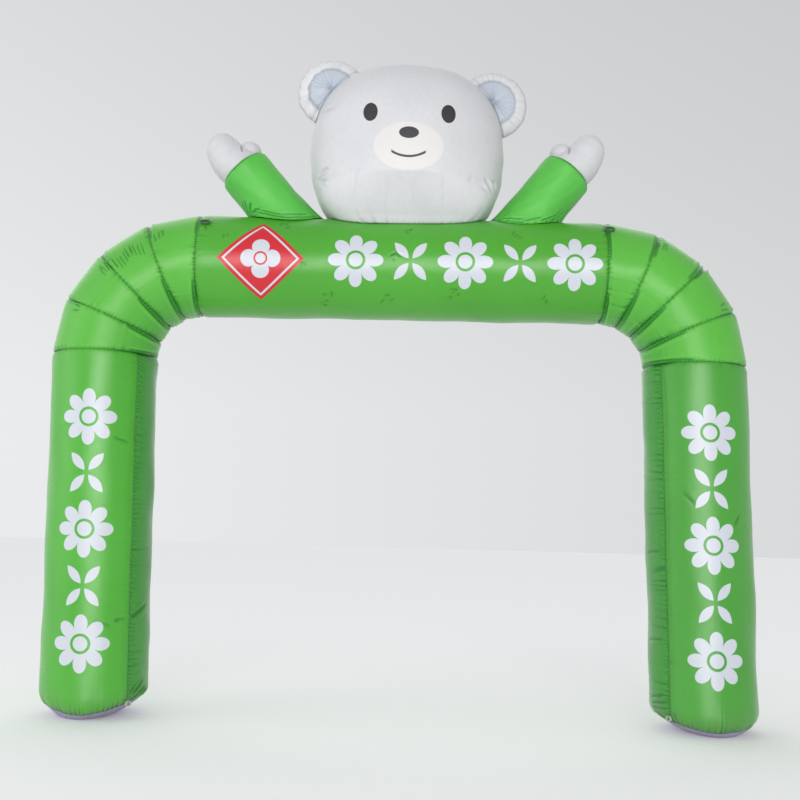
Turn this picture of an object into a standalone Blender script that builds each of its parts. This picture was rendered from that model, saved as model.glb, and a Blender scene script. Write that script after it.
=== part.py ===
"""An inflatable entrance arch: a blown-up nylon tube bent into two legs and a beam, with a head and two arms on top.

Metres, +Z up. The origin is on the ground in the middle of the walkway, X runs across the walkway from one leg to
the other, and the front faces -Y. Each cloth piece that a sewer would cut is one filled solid, drawn in at its seams.
"""

import math

import bmesh
import bpy
from mathutils import Matrix, Vector

# The main tube, and how it stands: the top sways to the left of the feet, and its right end is a little higher.
TUBE_RADIUS = 0.44
TUBE_SIDES = 48
LEG_AXIS_X = 2.56
BEAM_AXIS_Z = 3.86
BEND_RADIUS = 0.82
SWAY_X = 0.036
BEAM_END_RISE = 0.012

# How the cloth is drawn in at its seams, and how far apart two sewn pieces stay.
SEAM_GAP = 0.0006
SEAM_PINCH = 0.012
PANEL_SWELL = 0.005
SLACK = 0.003

GORES_PER_ELBOW = 4

# Feet: the sewn edge is lowest at the front and the back and rises towards both sides of each leg.
FOOT_SEAM_Z = 0.07
FOOT_SEAM_RADIUS = 0.424
FOOT_SEAM_RISE = {
    "left": {"inner": 0.100, "outer": 0.095},
    "right": {"inner": 0.062, "outer": 0.040},
}
FLOOR_CONTACT_HALF_SIZE = (0.22, 0.31)
FOOT_GATHERS = 16
FOOT_GATHER_DEPTH = 0.009
INNER_STRIP_HALF_ANGLE = math.radians(37.5)

# Head and ears.
HEAD_CENTRE = Vector((0.0, 0.0, 4.88))
HEAD_HALF_WIDTH = 0.84
HEAD_HALF_DEPTH = 0.55
HEAD_HALF_HEIGHT = 0.80
HEAD_ROUNDNESS = 2.4
HEAD_SIDES = 40
HEAD_SEAMS = 8
EAR_CENTRES = {"left": (-0.70, 5.47), "right": (0.735, 5.39)}
EAR_RADIUS = 0.295
EAR_HALF_DEPTH = 0.10

# Arms and hands.
ARM_LINES = {
    "left": {"shoulder": (-1.08, 4.31), "cuff": (-1.468, 4.735)},
    "right": {"shoulder": (1.06, 4.33), "cuff": (1.4185, 4.788)},
}
ARM_RADIUS = 0.232
ARM_ROOT_LENGTH = 0.22
ARM_SIDES = 28
HAND_RADIUS = 0.165
HAND_LENGTH = 0.395
THUMB_RADIUS = 0.08
THUMB_SIDES = 20
THUMB_TILT = math.radians(62)
CUT_CLEARANCE = 0.0015

# Sewn tether loops, of webbing bent to a flat ring.
TOP_LOOPS = {"left": -1.72, "right": 1.73}
TOP_LOOP_HALF_SIZE = (0.040, 0.026)
TOP_LOOP_LIFT = math.radians(43)
FOOT_LOOP_HALF_SIZE = (0.026, 0.022)
FOOT_LOOP_Z = 0.135
WEBBING_WIDTH = 0.014
WEBBING_THICKNESS = 0.004
LOOP_STEPS = 16
LOOP_STAND_OFF = 0.004

SIDES_OF_ARCH = {"left": -1, "right": 1}
BEND_CENTRE_X = LEG_AXIS_X - BEND_RADIUS

# The cloths, as linear colours and roughness.
CLOTHS = {
    "printed_green": ((0.092, 0.402, 0.045), 0.42),
    "plain_green": ((0.115, 0.485, 0.072), 0.42),
    "inner_green": ((0.062, 0.330, 0.035), 0.46),
    "sleeve_green": ((0.080, 0.578, 0.091), 0.42),
    "white": ((0.716, 0.716, 0.752), 0.45),
    "base_grey": ((0.305, 0.279, 0.420), 0.60),
    "webbing": ((0.030, 0.160, 0.030), 0.70),
    "pale_webbing": ((0.520, 0.650, 0.480), 0.70),
}


def clear_scene():
    for obj in list(bpy.data.objects):
        bpy.data.objects.remove(obj, do_unlink=True)


def cloth(name):
    """The named cloth's material, made on first use."""
    material = bpy.data.materials.get(name)
    if material is None:
        colour, roughness = CLOTHS[name]
        material = bpy.data.materials.new(name)
        material.use_nodes = True
        shader = material.node_tree.nodes["Principled BSDF"]
        shader.inputs["Base Color"].default_value = (*colour, 1.0)
        shader.inputs["Roughness"].default_value = roughness
        shader.inputs["Metallic"].default_value = 0.0
    return material


def add_object(name, bm, cloth_name):
    """Turns a bmesh into a smooth-shaded object with its own cloth."""
    bmesh.ops.recalc_face_normals(bm, faces=bm.faces)
    mesh = bpy.data.meshes.new(name)
    bm.to_mesh(mesh)
    bm.free()
    mesh.shade_smooth()
    mesh.set_sharp_from_angle(angle=math.radians(50))
    obj = bpy.data.objects.new(name, mesh)
    obj.data.materials.append(cloth(cloth_name))
    bpy.context.scene.collection.objects.link(obj)
    return obj


def add_guide(name, bm):
    """A body that Boolean modifiers work with. It isn't part of the object."""
    guide = add_object(name, bm, "webbing")
    guide.hide_render = True
    guide.display_type = "WIRE"
    return guide


def combine(obj, guide, operation):
    modifier = obj.modifiers.new(f"{operation.lower()}_{guide.name}", "BOOLEAN")
    modifier.operation = operation
    modifier.solver = "EXACT"
    modifier.object = guide


def frame_on(origin, x_axis, y_axis):
    """A frame whose rings lie in the plane of two axes."""
    frame = Matrix((x_axis, y_axis, x_axis.cross(y_axis))).transposed().to_4x4()
    frame.translation = origin
    return frame


def even(radius):
    """A round, flat ring outline."""
    return lambda angle: (radius, 0.0)


def add_ring(bm, frame, outline, sides):
    """One closed ring about the frame's Z axis. The outline gives a radius and a lift for each angle."""
    verts = bmesh.ops.create_circle(bm, segments=sides, radius=1.0)["verts"]
    for vert in verts:
        radius, lift = outline(math.atan2(vert.co.y, vert.co.x))
        vert.co = frame @ Vector((vert.co.x * radius, vert.co.y * radius, lift))
    return list({edge for vert in verts for edge in vert.link_edges})


def loft(rings, sides):
    """A closed body through the given (frame, outline) rings, with a flat face at each end."""
    bm = bmesh.new()
    loops = [add_ring(bm, frame, outline, sides) for frame, outline in rings]
    for lower, upper in zip(loops, loops[1:]):
        bmesh.ops.bridge_loops(bm, edges=lower + upper)
    bmesh.ops.holes_fill(bm, edges=loops[0] + loops[-1], sides=0)
    return bm


def pinch(distance):
    """How far the cloth is drawn in, or swells, at a distance from a seam."""
    return (SEAM_PINCH + PANEL_SWELL) * math.exp(-distance / 0.03) - PANEL_SWELL * math.exp(-distance / 0.3)


# Beam: one straight tube from elbow to elbow, with slow slack waves along it.


def beam_rings(grow):
    """Rings along the beam, from the left elbow's seam to the right one's."""
    half_length = BEND_CENTRE_X - SEAM_GAP / 2
    up, depth = Vector((0, 0, 1)), Vector((0, 1, 0))
    rings = []
    for seam_distance in (0.0, 0.03, 0.09, 0.3, 0.8, 1.35):
        for end in (-1, 1):
            along = end * (half_length - seam_distance)
            rise = BEAM_END_RISE * along / half_length
            centre = Vector((along - SWAY_X, 0, BEAM_AXIS_Z + rise))
            slack = SLACK * math.sin(2.6 * along) * min(seam_distance / 0.3, 1.0)
            outline = even(TUBE_RADIUS + slack - pinch(seam_distance) + grow)
            rings.append((frame_on(centre, up, depth), outline))
    return sorted(rings, key=lambda ring: ring[0].translation.x)


# Elbows: four gores each, every one a wedge of tube whose seams lie on planes through the bend's centre line.


def bend_centre(side):
    return Vector((side * BEND_CENTRE_X - SWAY_X, 0, leg_top_z(side)))


def leg_top_z(side):
    return BEAM_AXIS_Z - BEND_RADIUS + side * BEAM_END_RISE


def build_gore(side_name, number):
    side = SIDES_OF_ARCH[side_name]
    span = math.pi / 2 / GORES_PER_ELBOW
    gap = SEAM_GAP / 2 / (BEND_RADIUS - TUBE_RADIUS)
    rings = []
    for share in (0.0, 0.16, 0.5, 0.84, 1.0):
        angle = span * (number - 1) + gap + share * (span - 2 * gap)
        reach = BEND_RADIUS * math.cos(span / 2) / math.cos((share - 0.5) * span)
        outward = Vector((side * math.cos(angle), 0, math.sin(angle)))
        frame = frame_on(bend_centre(side) + outward * reach, outward, Vector((0, 1, 0)))
        seam_distance = min(share, 1 - share) * span * BEND_RADIUS
        rings.append((frame, even(TUBE_RADIUS - pinch(seam_distance))))
    add_object(f"elbow_{side_name}_gore_{number}", loft(rings, TUBE_SIDES), "plain_green")


# Legs: a printed outer panel and a plain inner strip, sewn to each other along two upright seams.


def leg_frame(side, height):
    """The level ring plane of a leg, which leans with the sway from foot to top."""
    sway = SWAY_X * (1 - 2 * height / leg_top_z(side))
    return Matrix.Translation((side * LEG_AXIS_X + sway, 0, height))


def seam_rise(side_name, angle):
    """How far the foot's sewn edge is above its lowest points, at an angle about the leg."""
    sideways = math.cos(angle)
    facing = "outer" if sideways * SIDES_OF_ARCH[side_name] > 0 else "inner"
    return FOOT_SEAM_RISE[side_name][facing] * abs(sideways) ** 1.6


def foot_gather(angle):
    """Puckers where the tube is gathered onto its base panel, uneven round the foot."""
    return FOOT_GATHER_DEPTH * (math.sin(FOOT_GATHERS * angle) + 0.5 * math.sin(7 * angle + 1.0)) / 1.5


def leg_outline(side_name, height, angle):
    """The leg's radius and its ring's lift, at a height and an angle about its axis."""
    side = SIDES_OF_ARCH[side_name]
    above_foot = height - FOOT_SEAM_Z
    from_inside = abs(math.atan2(math.sin(angle), -side * math.cos(angle)))
    off_seam = (from_inside - INNER_STRIP_HALF_ANGLE) / math.radians(5)
    upright_seam = 0.6 * SEAM_PINCH * math.exp(-off_seam * off_seam)
    rounding = (TUBE_RADIUS - FOOT_SEAM_RADIUS) * math.exp(-above_foot / 0.05)
    gather = foot_gather(angle) * math.exp(-above_foot / 0.09)
    top_pinch = pinch(leg_top_z(side) - height)
    slack = SLACK * math.sin(5.0 * height + side)
    radius = TUBE_RADIUS + slack - upright_seam - rounding + gather - top_pinch
    return radius, seam_rise(side_name, angle) * math.exp(-above_foot / 0.2)


def leg_body(side_name):
    side = SIDES_OF_ARCH[side_name]
    bottom, top = FOOT_SEAM_Z + SEAM_GAP / 2, leg_top_z(side) - SEAM_GAP / 2
    # The closed bottom is dished up, so that it stays clear of the base panel under it.
    rings = [(leg_frame(side, bottom + 0.05), even(FOOT_SEAM_RADIUS / 2))]
    for height in (bottom, 0.10, 0.15, 0.24, 0.45, 0.9, 1.4, 1.9, 2.4, 2.75, top - 0.09, top - 0.03, top):
        outline = lambda angle, height=height: leg_outline(side_name, height, angle)
        rings.append((leg_frame(side, height), outline))
    return loft(rings, TUBE_SIDES)


def keep_behind(bm, point, direction):
    """Cuts a body at a plane, takes away the side that the direction points to, and closes the cut."""
    geometry = bm.verts[:] + bm.edges[:] + bm.faces[:]
    bmesh.ops.bisect_plane(
        bm, geom=geometry, dist=1e-5, plane_co=point, plane_no=direction, clear_outer=True
    )
    open_edges = [edge for edge in bm.edges if edge.is_boundary]
    bmesh.ops.holes_fill(bm, edges=open_edges, sides=0)
    return bm


def build_leg(side_name):
    side = SIDES_OF_ARCH[side_name]
    foot = leg_frame(side, 0.0).translation
    top = leg_frame(side, leg_top_z(side)).translation
    inward = (top - foot).cross(Vector((0, side, 0))).normalized()
    seam_reach = (TUBE_RADIUS - 0.6 * SEAM_PINCH) * math.cos(INNER_STRIP_HALF_ANGLE)
    outer_cut = foot + inward * (seam_reach - SEAM_GAP / 2)
    inner_cut = foot + inward * (seam_reach + SEAM_GAP / 2)
    panel = keep_behind(leg_body(side_name), outer_cut, inward)
    strip = keep_behind(leg_body(side_name), inner_cut, -inward)
    add_object(f"leg_{side_name}_printed_panel", panel, "printed_green")
    add_object(f"leg_{side_name}_inner_strip", strip, "inner_green")


def build_base(side_name):
    """The base panel, which bulges below the foot's sewn edge down to a flat spot on the ground."""
    side = SIDES_OF_ARCH[side_name]
    half_width, half_depth = FLOOR_CONTACT_HALF_SIZE

    def outline(share, angle):
        contact = 1 / math.hypot(math.cos(angle) / half_width, math.sin(angle) / half_depth)
        sewn = FOOT_SEAM_RADIUS - 0.002 + foot_gather(angle)
        edge_z = FOOT_SEAM_Z - SEAM_GAP / 2 + seam_rise(side_name, angle)
        return contact + (sewn - contact) * share, edge_z * share**1.5

    rings = []
    for share in (0.0, 0.3, 0.6, 0.85, 1.0):
        rings.append((leg_frame(side, 0.0), lambda angle, share=share: outline(share, angle)))
    rings.append((leg_frame(side, FOOT_SEAM_Z - 0.01), even(FOOT_SEAM_RADIUS / 2)))
    add_object(f"base_panel_{side_name}", loft(rings, TUBE_SIDES), "base_grey")


# Head and ears: a rounded head with sewn meridians, set down over the beam, and two flat round ears.


def head_outline(angle):
    """The head's level outline, 1 across, drawn in a little at each sewn meridian."""
    fullness = (abs(math.cos(angle)) ** 2.3 + abs(math.sin(angle)) ** 2.3) ** (-1 / 2.3)
    off_seam = math.sin(HEAD_SEAMS / 2 * angle) ** 2
    return fullness * (1 - 0.012 * math.exp(-off_seam / 0.05)), 0.0


def head_rings(grow):
    rings = []
    for climb_degrees in (-74, -62, -50, -36, -20, 0, 20, 36, 50, 62, 72, 80):
        climb = math.radians(climb_degrees)
        up = math.copysign(abs(math.sin(climb)) ** (2 / HEAD_ROUNDNESS), climb)
        half_width = HEAD_HALF_WIDTH * math.cos(climb) ** (2 / HEAD_ROUNDNESS) + grow
        half_depth = HEAD_HALF_DEPTH * math.sqrt(1 - up * up) + grow
        centre = HEAD_CENTRE + Vector((0, 0, up * (HEAD_HALF_HEIGHT + grow)))
        size = Matrix.Diagonal((half_width, half_depth, 1.0, 1.0))
        rings.append((Matrix.Translation(centre) @ size, head_outline))
    return rings


def build_ear(side_name, head_guide):
    """A round ear of two discs sewn at the rim: thick in the middle and thin at its edge."""
    x, z = EAR_CENTRES[side_name]
    rings = []
    for share in (-1.0, -0.86, -0.55, 0.0, 0.55, 0.86, 1.0):
        radius = EAR_RADIUS * (1 - abs(share) ** 2.6 * 0.75)
        centre = Vector((x, 0.02 + share * EAR_HALF_DEPTH, z))
        rings.append((frame_on(centre, Vector((1, 0, 0)), Vector((0, 0, -1))), even(radius)))
    ear = add_object(f"ear_{side_name}", loft(rings, ARM_SIDES), "white")
    combine(ear, head_guide, "DIFFERENCE")


# Arms: a green sleeve leaning outward on the beam, and a white mitten in its cuff.


def arm_frame(side_name, along):
    """The arm's ring plane at a distance past its cuff, with its X axis on the side of the head."""
    line = ARM_LINES[side_name]
    shoulder = Vector((line["shoulder"][0], 0, line["shoulder"][1]))
    cuff = Vector((line["cuff"][0], 0, line["cuff"][1]))
    direction = (cuff - shoulder).normalized()
    headward = direction.cross(Vector((0, SIDES_OF_ARCH[side_name], 0)))
    return frame_on(cuff + direction * along, headward, direction.cross(headward))


def build_sleeve(side_name, beam_guide):
    line = ARM_LINES[side_name]
    length = math.dist(line["shoulder"], line["cuff"])
    rings = []
    for share, spread in ((0.0, 1.06), (0.3, 0.98), (0.6, 1.01), (0.86, 1.0), (0.97, 0.99), (1.0, 0.95)):
        along = (share - 1) * length
        rings.append((arm_frame(side_name, along), even(ARM_RADIUS * spread)))
    rings.insert(0, (arm_frame(side_name, -length - ARM_ROOT_LENGTH), even(ARM_RADIUS * 1.06)))
    sleeve = add_object(f"sleeve_{side_name}", loft(rings, ARM_SIDES), "sleeve_green")
    combine(sleeve, beam_guide, "DIFFERENCE")


def build_hand(side_name):
    """A mitten: a blunt lobe for the fingers, and a short thumb lobe on the side of the head."""
    rings = []
    for share, spread in ((0.002, 1.2), (0.2, 1.16), (0.42, 1.08), (0.62, 1.0), (0.8, 0.84), (0.94, 0.55), (1.0, 0.25)):
        rings.append((arm_frame(side_name, share * HAND_LENGTH), even(HAND_RADIUS * spread)))
    hand = add_object(f"hand_{side_name}", loft(rings, ARM_SIDES), "white")
    thumb_root = arm_frame(side_name, 0.08) @ Matrix.Translation((0.06, 0, 0))
    thumb_line = thumb_root @ Matrix.Rotation(THUMB_TILT, 4, "Y")
    rings = []
    for along, spread in ((0.0, 0.8), (0.06, 0.95), (0.13, 1.0), (0.18, 0.86), (0.215, 0.56), (0.228, 0.25)):
        rings.append((thumb_line @ Matrix.Translation((0, 0, along)), even(THUMB_RADIUS * spread)))
    combine(hand, add_guide(f"thumb_guide_{side_name}", loft(rings, THUMB_SIDES)), "UNION")


# Tether loops: flat rings of webbing, lying against the tube where they are sewn on.


def build_loop(name, axis_point, outward, half_size, cloth_name):
    """Webbing bent round to a flat oval ring: its section is turned about the middle and then drawn to size."""
    sideways = Vector((0, 0, 1)).cross(outward).normalized()
    stand = TUBE_RADIUS + PANEL_SWELL + LOOP_STAND_OFF + WEBBING_WIDTH / 2
    frame = frame_on(axis_point + outward * stand, sideways, outward.cross(sideways))
    bm = bmesh.new()
    section = bmesh.ops.create_circle(bm, segments=4, radius=math.sqrt(0.5))["verts"]
    bmesh.ops.rotate(bm, verts=section, matrix=Matrix.Rotation(math.pi / 4, 3, "Z"))
    thickness = WEBBING_THICKNESS / half_size[1]
    for vert in section:
        vert.co = Vector((1 + (vert.co.x - 0.5) * thickness, 0, vert.co.y * WEBBING_WIDTH))
    bmesh.ops.spin(
        bm, geom=bm.verts[:] + bm.edges[:], axis=(0, 0, 1), angle=math.tau, steps=LOOP_STEPS, use_merge=True
    )
    bmesh.ops.scale(bm, vec=(half_size[0], half_size[1], 1), verts=bm.verts)
    bmesh.ops.transform(bm, matrix=frame, verts=bm.verts)
    add_object(name, bm, cloth_name)


def build_loops(side_name):
    side = SIDES_OF_ARCH[side_name]
    axis_point = Vector((TOP_LOOPS[side_name], 0, BEAM_AXIS_Z + side * BEAM_END_RISE))
    outward = Vector((0, -math.cos(TOP_LOOP_LIFT), math.sin(TOP_LOOP_LIFT)))
    build_loop(f"tether_loop_top_{side_name}", axis_point, outward, TOP_LOOP_HALF_SIZE, "webbing")

    turn = INNER_STRIP_HALF_ANGLE
    outward = Vector((-side * math.cos(turn), -math.sin(turn), 0))
    axis_point = leg_frame(side, FOOT_LOOP_Z).translation
    build_loop(f"tether_loop_foot_{side_name}", axis_point, outward, FOOT_LOOP_HALF_SIZE, "pale_webbing")


def main():
    clear_scene()
    add_object("beam", loft(beam_rings(0.0), TUBE_SIDES), "printed_green")
    beam_guide = add_guide("beam_guide", loft(beam_rings(CUT_CLEARANCE), TUBE_SIDES))
    head_guide = add_guide("head_guide", loft(head_rings(CUT_CLEARANCE), HEAD_SIDES))
    head = add_object("head", loft(head_rings(0.0), HEAD_SIDES), "white")
    combine(head, beam_guide, "DIFFERENCE")
    for side_name in SIDES_OF_ARCH:
        for number in range(1, GORES_PER_ELBOW + 1):
            build_gore(side_name, number)
        build_leg(side_name)
        build_base(side_name)
        build_ear(side_name, head_guide)
        build_sleeve(side_name, beam_guide)
        build_hand(side_name)
        build_loops(side_name)


main()
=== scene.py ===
import math

import bmesh
import bpy
import numpy as np
from mathutils import Matrix, Vector


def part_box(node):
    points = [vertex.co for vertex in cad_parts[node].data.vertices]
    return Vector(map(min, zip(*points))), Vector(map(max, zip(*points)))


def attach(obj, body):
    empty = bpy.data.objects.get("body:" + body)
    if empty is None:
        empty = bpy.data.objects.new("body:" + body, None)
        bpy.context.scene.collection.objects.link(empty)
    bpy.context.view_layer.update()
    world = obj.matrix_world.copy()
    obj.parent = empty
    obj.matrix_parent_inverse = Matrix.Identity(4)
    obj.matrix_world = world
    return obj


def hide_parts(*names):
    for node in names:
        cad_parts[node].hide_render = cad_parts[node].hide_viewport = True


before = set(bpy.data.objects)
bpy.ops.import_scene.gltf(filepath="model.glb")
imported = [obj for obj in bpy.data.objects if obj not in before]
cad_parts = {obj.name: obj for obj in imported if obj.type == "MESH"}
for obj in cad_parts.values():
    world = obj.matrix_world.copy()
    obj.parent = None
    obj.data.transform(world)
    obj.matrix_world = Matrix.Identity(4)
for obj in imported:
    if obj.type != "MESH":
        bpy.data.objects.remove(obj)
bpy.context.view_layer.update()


# Beam
# One wide panel of printed nylon, rolled into a tube and sewn to the two elbows at its ends. It is blown
# up tight, drawn in and puckered at its end seams, and has small dents where it has been pulled at.

TUBE_RADIUS = 0.44
SIDES = {"left": -1, "right": 1}
SEAM_PINCH = 0.012
PANEL_SWELL = 0.005
SLACK = 0.003
BEAM_END_RISE = 0.012
PRINTED_GREEN = (0.064, 0.362, 0.020)
PRINT_WHITE = (0.56, 0.59, 0.66)
PRINT_RED = (0.56, 0.014, 0.026)
DUST = (0.17, 0.15, 0.12)
SEAM_ALLOWANCE = 0.016
SHORTEST_PLEAT = 0.004
STITCHES_FROM_SEAM = 0.009
STITCH_PITCH = 0.008
RIP_STOP_PITCH = 0.012
PRINT_EDGE = 0.004
MOTIF_PITCH = 0.92
BLOOM_RADIUS = 0.235
LEAF_SIZE = (0.19, 0.040)
PRINT_SHIFT = 0.02
DIAMOND_X = -1.22
DIAMOND_REACH = 0.37
BORDER_REACH = 0.315
BORDER_HALF_WIDTH = 0.014
QUATREFOIL_RADIUS = 0.17
CLEARANCE = 0.0003
# How deep a fold must be for its painted shade to be full.
DEEP_FOLD = 0.003
BEAM_DENTS = (
    # x along the beam and height round the front of each cluster, its spread, how many
    (-1.52, 0.17, 0.03, 2),
    (-1.05, 0.31, 0.05, 3),
    (-0.86, -0.06, 0.03, 2),
    (-0.66, -0.38, 0.07, 7),
    (-0.16, -0.36, 0.05, 3),
    (-0.10, 0.02, 0.06, 6),
    (0.02, 0.28, 0.05, 3),
    (0.42, -0.30, 0.05, 4),
    (0.93, 0.25, 0.04, 3),
    (1.21, -0.36, 0.05, 3),
    (1.57, 0.12, 0.03, 2),
    (-1.30, 1.02, 0.07, 4),
    (-0.35, -1.05, 0.08, 5),
    (0.60, 1.10, 0.07, 4),
    (1.38, -0.95, 0.06, 3),
)


def ebb(distance, reach):
    """1 at a seam or an edge, dying away from it."""
    return np.exp(-distance / reach)


def hump(offset, width):
    """1 along the middle of a fold, and less to both sides."""
    return np.exp(-((offset / width) ** 2))


def uneven(turn, seed, fewest, most, terms=5):
    """A wandering wave, mostly within 1, that closes on itself over a full turn."""
    rng = np.random.default_rng(seed)
    counts = rng.integers(fewest, most + 1, terms)
    phases = rng.uniform(0, math.tau, terms)
    return sum(np.sin(n * turn + phase) for n, phase in zip(counts, phases)) / math.sqrt(terms)


def buckles(along, turn, seed, height=0.0022):
    """Broad, shallow waves of blown-up cloth that isn't quite evenly tight."""
    rng = np.random.default_rng(seed)
    waves = 0
    for _ in range(7):
        round_count, along_rate, phase = rng.integers(0, 7), rng.uniform(-11, 11), rng.uniform(0, math.tau)
        waves += np.sin(round_count * turn + along_rate * along + phase)
    return height * waves / math.sqrt(7)


def slackness(turn):
    """0 at the front, where the printed cloth is pulled tight, to 1 at the back."""
    return (1 - np.cos(turn)) / 2


def puckers(turn, from_seam, seed, count=44, depth=0.005, reach=0.05):
    """Short pleats that run off a seam: sharp valleys between round ridges, each of its own length."""
    strength = np.clip(0.6 + 0.7 * uneven(turn, seed, 2, 9), 0.08, 1.3)
    length = reach * np.clip(1 + 0.9 * uneven(turn, seed + 1, 9, 24), 0.35, 2.4)
    wander = 1.6 * uneven(turn, seed + 2, 2, 9) + 5 * from_seam * uneven(turn, seed + 3, 3, 12)
    ridges = np.abs(np.sin(count / 2 * turn + wander)) - 0.64
    sewn_flat = 1 - ebb(from_seam, 0.006)
    return depth * strength * sewn_flat * ebb(from_seam, length) * ridges


def crease(u, v, start, end, width, depth):
    """A soft trough in the cloth between two points, with the cloth pushed up a little on both sides."""
    run = np.subtract(end, start)
    length = math.hypot(*run)
    along = ((u - start[0]) * run[0] + (v - start[1]) * run[1]) / length**2
    across = ((u - start[0]) * run[1] - (v - start[1]) * run[0]) / length
    fade = np.clip(4 * along * (1 - along), 0, 1) ** 0.8
    banks = hump(np.abs(across) - 2.2 * width, width)
    return -depth * fade * (hump(across, width) - 0.4 * banks)


def creases(u, v, folds):
    """Several creases, each with its two ends, its width and its depth."""
    return sum(crease(u, v, *fold) for fold in folds)


def dents(u, v, clusters, seed):
    """Small dents, a few near each of the given places."""
    rng = np.random.default_rng(seed)
    relief = 0
    for middle_u, middle_v, spread, count in clusters:
        for _ in range(count):
            middle = np.array((middle_u, middle_v)) + rng.uniform(-spread, spread, 2)
            bearing, half_length = rng.uniform(0, math.pi), rng.uniform(0.012, 0.035)
            reach = np.array((math.cos(bearing), math.sin(bearing))) * half_length
            depth = rng.uniform(0.004, 0.011)
            relief += crease(u, v, middle - reach, middle + reach, 0.008, depth)
    return relief


def seam_groove(from_seam, turn):
    """How far a tube is drawn in at a ring seam: least where the front is pulled tight."""
    pinch = SEAM_PINCH * (0.45 + 0.55 * np.sin(turn) ** 2)
    return (pinch + PANEL_SWELL) * ebb(from_seam, 0.015) - PANEL_SWELL * ebb(from_seam, 0.3)


def closing_seam(along, turn, seed):
    """The relief of the long seam up the back that closes the tube, and how far each point is from it."""
    from_back = (math.pi - np.abs(turn)) * TUBE_RADIUS
    pleats = puckers(along / TUBE_RADIUS, from_back, seed, count=50, depth=0.004, reach=0.035)
    return pleats - 0.002 * ebb(from_back, 0.010), from_back + 0.007


def bunching(from_seam, turn, seed):
    """Deep folds where the cloth bunches along a ring seam, mostly on the inside of the arch, with a second
    fold beside them here and there."""
    where = np.where(turn < 0, 1.0, 0.6) * np.abs(np.sin(turn)) ** 2.5
    amount = where * np.clip(0.9 + 0.8 * uneven(turn, seed, 3, 9), 0, 1.6)
    beside = where * np.clip(1.2 * uneven(turn, seed + 1, 2, 6) - 0.3, 0, 1)
    second = beside * (hump(from_seam - 0.030, 0.007) - 0.5 * hump(from_seam - 0.044, 0.009))
    return -0.013 * amount * ebb(from_seam, 0.012) - 0.009 * second


def stations(share, start, end, crowding):
    """Where the rows of a panel lie: closer together near its seams, where the pleats are."""
    fine = np.linspace(0, 1, 801)
    length = abs(end - start)
    density = 1 + crowding * (ebb(fine * length, 0.05) + ebb((1 - fine) * length, 0.05))
    total = np.concatenate(([0.0], np.cumsum((density[1:] + density[:-1]) / 2)))
    return start + (end - start) * np.interp(share, total / total[-1], fine)


def lay_cloth(bm, places, cloth, from_seam, relief, deep_fold):
    """Moves each vertex to its place, and keeps where it is on the flat cloth, how far the nearest seam is,
    and how deep in a fold it lies, which sets the painted shade there."""
    cloth_map = bm.loops.layers.uv.new("cloth")
    seam_layer = bm.verts.layers.float.new("from_seam")
    fold_shade_layer = bm.verts.layers.float.new("fold")
    bm.verts.index_update()
    folds = np.clip(-relief / deep_fold, -0.5, 1)
    for vert, place, seam, fold in zip(bm.verts, places, from_seam, folds):
        vert.co = place
        vert[seam_layer] = seam
        vert[fold_shade_layer] = fold
    for face in bm.faces:
        face.smooth = True
        for loop in face.loops:
            loop[cloth_map].uv = cloth[loop.vert.index]


def sew(name, rows, columns, shape, flat_ends=True):
    """Rolls a flat cut panel into a closed body. The shape says, for points from 0 to 1 along and round the
    panel, where each lies, where it is on the flat cloth, how far the nearest seam is, and its relief."""
    bm = bmesh.new()
    bmesh.ops.create_grid(bm, x_segments=rows, y_segments=columns, size=0.5)
    flat = np.array([vert.co[:2] for vert in bm.verts]) + 0.5
    lay_cloth(bm, *shape(flat[:, 0], flat[:, 1]), DEEP_FOLD)
    edges = [vert for vert in bm.verts if vert.is_boundary]
    bmesh.ops.remove_doubles(bm, verts=edges, dist=0.0001)
    ends = [edge for edge in bm.edges if edge.is_boundary]
    for cap in bmesh.ops.holes_fill(bm, edges=ends, sides=0)["faces"]:
        cap.smooth = True
        for edge in cap.edges:
            edge.smooth = not flat_ends
    return finish_piece(name, bm)


def add_object(name, data):
    thing = bpy.data.objects.new(name, data)
    bpy.context.scene.collection.objects.link(thing)
    return thing


def finish_piece(name, bm):
    bmesh.ops.recalc_face_normals(bm, faces=bm.faces)
    mesh = bpy.data.meshes.new(name)
    bm.to_mesh(mesh)
    bm.free()
    return add_object(name, mesh)


def dress(piece, material, slot, fill, *nodes):
    """Gives a blown-up piece its cloth, hangs it on the root, and hides the pieces of the frame that it
    stands for.
    """
    piece.data.materials.append(material)
    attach(piece, "root")
    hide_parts(*nodes)


def new_material(name):
    """A material, with its node tree and its shader."""
    material = bpy.data.materials.new(name)
    material.use_nodes = True
    return material, material.node_tree, material.node_tree.nodes["Principled BSDF"]


def set_inputs(node, inputs):
    """Links each input that comes from another node, and sets the rest."""
    for name, value in inputs.items():
        if isinstance(value, bpy.types.NodeSocket):
            node.id_data.links.new(value, node.inputs[name])
        else:
            node.inputs[name].default_value = value


def new_source(tree, kind, **settings):
    """A node that takes nothing from other nodes."""
    node = tree.nodes.new(kind)
    for name, value in settings.items():
        setattr(node, name, value)
    return node


def add_node(kind, inputs, **settings):
    """A node that works on the values of others, in their tree."""
    tree = next(value.id_data for value in inputs.values() if isinstance(value, bpy.types.NodeSocket))
    node = new_source(tree, kind, **settings)
    set_inputs(node, inputs)
    return node


def calc(operation, *values, limit=False):
    inputs = dict(enumerate(values))
    return add_node("ShaderNodeMath", inputs, operation=operation, use_clamp=limit).outputs[0]


def times(first, second):
    return calc("MULTIPLY", first, second)


def plus(first, second):
    return calc("ADD", first, second)


def minus(first, second):
    return calc("SUBTRACT", first, second)


def apart(first, second):
    """How far two values are from each other."""
    return calc("ABSOLUTE", minus(first, second))


def distance(x, y):
    return calc("SQRT", plus(times(x, x), times(y, y)))


def bands(run, pitch):
    """A wave along a run of cloth, from -1 to 1 and back in each pitch."""
    return calc("SINE", times(run, math.tau / pitch))


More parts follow.
